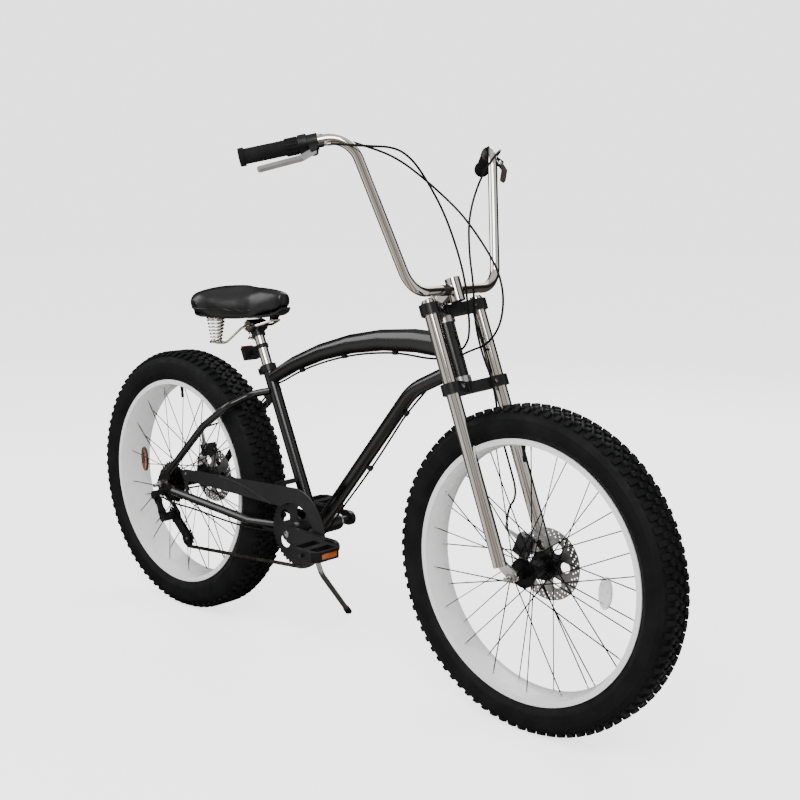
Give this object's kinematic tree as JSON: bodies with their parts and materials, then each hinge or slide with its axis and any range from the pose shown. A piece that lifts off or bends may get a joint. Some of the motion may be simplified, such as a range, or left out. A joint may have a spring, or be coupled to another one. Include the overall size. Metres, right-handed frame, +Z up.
{
  "type": "fat tire bicycle",
  "caption": "Cruiser bicycle with wide knobbed tyres, a double-crown fork, tall swept bar, derailleur drive, disc brakes and a sprung saddle.",
  "frame": {"origin": "on the ground half way along the bike, in its middle plane", "axes": "+X forward, +Y to the rider's left, +Z up"},
  "size_m": [1.9184, 0.8108, 1.2618],
  "materials": {
    "gloss_black_paint": "gloss",
    "satin_black_metal": "satin",
    "chrome_plate": "polished",
    "white_rim_paint": "gloss",
    "tyre_rubber": "matte",
    "black_spoke_steel": "satin",
    "bare_steel": "brushed",
    "cast_aluminium": "satin",
    "black_plastic": "satin",
    "guard_plastic": "satin",
    "grip_rubber": "matte",
    "red_reflector": "gloss",
    "saddle_vinyl": "satin"
  },
  "bodies": {
    "frame": {"head_tube": "gloss_black_paint", "bearing_cups": "chrome_plate", "top_tube": "gloss_black_paint", "down_tube": "gloss_black_paint", "seat_tube": "gloss_black_paint", "bottom_bracket_shell": "gloss_black_paint", "rear_stays": "gloss_black_paint", "rear_dropouts": "gloss_black_paint", "seat_collar": "satin_black_metal", "chain_guard": "guard_plastic", "kickstand_plate": "satin_black_metal", "rear_caliper": "satin_black_metal", "rear_axle": "bare_steel", "derailleur_mount": "black_plastic", "chain": "bare_steel", "cable_housings": "black_plastic"},
    "steering": {"fork_crowns": "satin_black_metal", "fork_legs": "chrome_plate", "stem": "chrome_plate", "handlebar": "chrome_plate", "grips": "grip_rubber", "brake_perches": "black_plastic", "shifter_housing": "black_plastic", "front_caliper": "satin_black_metal", "front_axle": "bare_steel", "front_brake_housing": "black_plastic"},
    "front_wheel": {"front_hub": "satin_black_metal", "front_spokes": "black_spoke_steel", "front_rim": "white_rim_paint", "front_tyre": "tyre_rubber", "front_rotor": "bare_steel"},
    "rear_wheel": {"rear_hub": "satin_black_metal", "rear_spokes": "black_spoke_steel", "rear_rim": "white_rim_paint", "rear_tyre": "tyre_rubber", "rear_rotor": "bare_steel"},
    "crank": {"crank_set": "satin_black_metal", "chainring": "satin_black_metal"},
    "freewheel": {"freewheel": "bare_steel"},
    "right_pedal": {"right_pedal": "black_plastic"},
    "left_pedal": {"left_pedal": "black_plastic"},
    "derailleur_link": {"derailleur_link": "black_plastic"},
    "derailleur_knuckle": {"derailleur_knuckle": "black_plastic"},
    "derailleur_cage": {"derailleur_cage": "black_plastic"},
    "guide_pulley": {"guide_pulley": "black_plastic"},
    "tension_pulley": {"tension_pulley": "black_plastic"},
    "kickstand": {"kickstand_leg": "bare_steel", "kickstand_tip": "grip_rubber"},
    "right_brake_lever": {"right_brake_lever": "cast_aluminium"},
    "left_brake_lever": {"left_brake_lever": "cast_aluminium"},
    "front_caliper_arm": {"front_caliper_arm": "cast_aluminium"},
    "rear_caliper_arm": {"rear_caliper_arm": "cast_aluminium"},
    "twist_shifter": {"twist_shifter": "grip_rubber"},
    "seatpost": {"seatpost": "chrome_plate", "saddle_clamp": "satin_black_metal", "rear_reflector": "red_reflector"},
    "saddle_frame": {"saddle_rails": "chrome_plate", "saddle_springs": "chrome_plate"},
    "saddle": {"saddle_pad": "saddle_vinyl", "saddle_base": "satin_black_metal"}
  },
  "joints": [
    {"name": "steering", "type": "hinge", "parent": "frame", "child": "steering", "pos_m": [0.55038, 0, 0.33315], "axis": [-0.3551, 0, 0.9348], "range_deg": [-50, 50], "deforming": ["cable_housings"]},
    {"name": "front_wheel_spin", "type": "hinge", "parent": "steering", "child": "front_wheel", "pos_m": [0.60525, 0, 0.354], "axis": [0, 1, 0], "continuous": true},
    {"name": "rear_wheel_spin", "type": "hinge", "parent": "frame", "child": "rear_wheel", "pos_m": [-0.59475, 0, 0.3645], "axis": [0, 1, 0], "continuous": true},
    {"name": "crank_spin", "type": "hinge", "parent": "frame", "child": "crank", "pos_m": [-0.06, 0, 0.326], "axis": [0, 1, 0], "continuous": true, "deforming": ["chain"]},
    {"name": "freewheel_spin", "type": "hinge", "parent": "frame", "child": "freewheel", "pos_m": [-0.59475, 0, 0.3645], "axis": [0, 1, 0], "continuous": true},
    {"name": "right_pedal_spin", "type": "hinge", "parent": "crank", "child": "right_pedal", "pos_m": [0.1, 0, 0.326], "axis": [0, 1, 0], "continuous": true},
    {"name": "left_pedal_spin", "type": "hinge", "parent": "crank", "child": "left_pedal", "pos_m": [-0.22, 0, 0.326], "axis": [0, 1, 0], "continuous": true},
    {"name": "derailleur_swing", "type": "hinge", "parent": "frame", "child": "derailleur_link", "pos_m": [-0.59369, -0.112, 0.31767], "axis": [0.8914, 0, 0.4532], "range_deg": [-30, 30]},
    {"name": "derailleur_level", "type": "hinge", "parent": "derailleur_link", "child": "derailleur_knuckle", "pos_m": [-0.58181, -0.112, 0.29433], "axis": [0.8914, 0, 0.4532], "range_deg": [-30, 30]},
    {"name": "cage_swing", "type": "hinge", "parent": "derailleur_knuckle", "child": "derailleur_cage", "pos_m": [-0.57275, -0.076, 0.2765], "axis": [0, 1, 0], "range_deg": [-15, 15], "stiffness_Nm_per_rad": 2},
    {"name": "guide_pulley_spin", "type": "hinge", "parent": "derailleur_cage", "child": "guide_pulley", "pos_m": [-0.57275, -0.076, 0.2765], "axis": [0, 1, 0], "continuous": true},
    {"name": "tension_pulley_spin", "type": "hinge", "parent": "derailleur_cage", "child": "tension_pulley", "pos_m": [-0.50884, -0.076, 0.22198], "axis": [0, 1, 0], "continuous": true},
    {"name": "kickstand_fold", "type": "hinge", "parent": "frame", "child": "kickstand", "pos_m": [-0.178, 0.062, 0.29], "axis": [0.1736, 0.8458, 0.5045], "range_deg": [0, 80]},
    {"name": "right_lever_squeeze", "type": "hinge", "parent": "steering", "child": "right_brake_lever", "pos_m": [0.26251, -0.30169, 1.22395], "axis": [-0.2795, 0.5194, -0.8075], "range_deg": [0, 17], "stiffness_Nm_per_rad": 2},
    {"name": "left_lever_squeeze", "type": "hinge", "parent": "steering", "child": "left_brake_lever", "pos_m": [0.25515, 0.309, 1.22179], "axis": [0.2795, 0.5194, 0.8075], "range_deg": [0, 17], "stiffness_Nm_per_rad": 2},
    {"name": "rear_arm_pull", "type": "hinge", "parent": "frame", "child": "rear_caliper_arm", "pos_m": [-0.61459, 0.08, 0.44406], "axis": [0, 1, 0], "range_deg": [0, 21]},
    {"name": "front_arm_pull", "type": "hinge", "parent": "steering", "child": "front_caliper_arm", "pos_m": [0.52977, 0.055, 0.38604], "axis": [0, 1, 0], "range_deg": [0, 21]},
    {"name": "twist_shift", "type": "hinge", "parent": "steering", "child": "twist_shifter", "pos_m": [0.13586, -0.388, 1.21227], "axis": [0.6945, 0.6901, 0.2035], "range_deg": [-60, 60]},
    {"name": "seat_height", "type": "slide", "parent": "frame", "child": "seatpost", "axis": [-0.3987, 0, 0.9171], "range_m": [-0.02, 0.06]},
    {"name": "saddle_tilt", "type": "hinge", "parent": "seatpost", "child": "saddle_frame", "pos_m": [-0.29533, 0, 0.81663], "axis": [0, 1, 0], "range_deg": [-8, 8]},
    {"name": "saddle_bounce", "type": "hinge", "parent": "saddle_frame", "child": "saddle", "pos_m": [-0.21733, 0, 0.83483], "axis": [0, -1, 0], "range_deg": [0, 3], "stiffness_Nm_per_rad": 1000, "deforming": ["saddle_springs"]}
  ],
  "couplings": [
    {"joint": "freewheel_spin", "follows": "crank_spin", "ratio": 2.2},
    {"joint": "guide_pulley_spin", "follows": "crank_spin", "ratio": -4},
    {"joint": "tension_pulley_spin", "follows": "crank_spin", "ratio": 4},
    {"joint": "derailleur_swing", "follows": "twist_shift", "ratio": 0.5},
    {"joint": "derailleur_level", "follows": "twist_shift", "ratio": -0.5},
    {"joint": "rear_arm_pull", "follows": "right_lever_squeeze", "ratio": 1.2},
    {"joint": "front_arm_pull", "follows": "left_lever_squeeze", "ratio": 1.2}
  ]
}
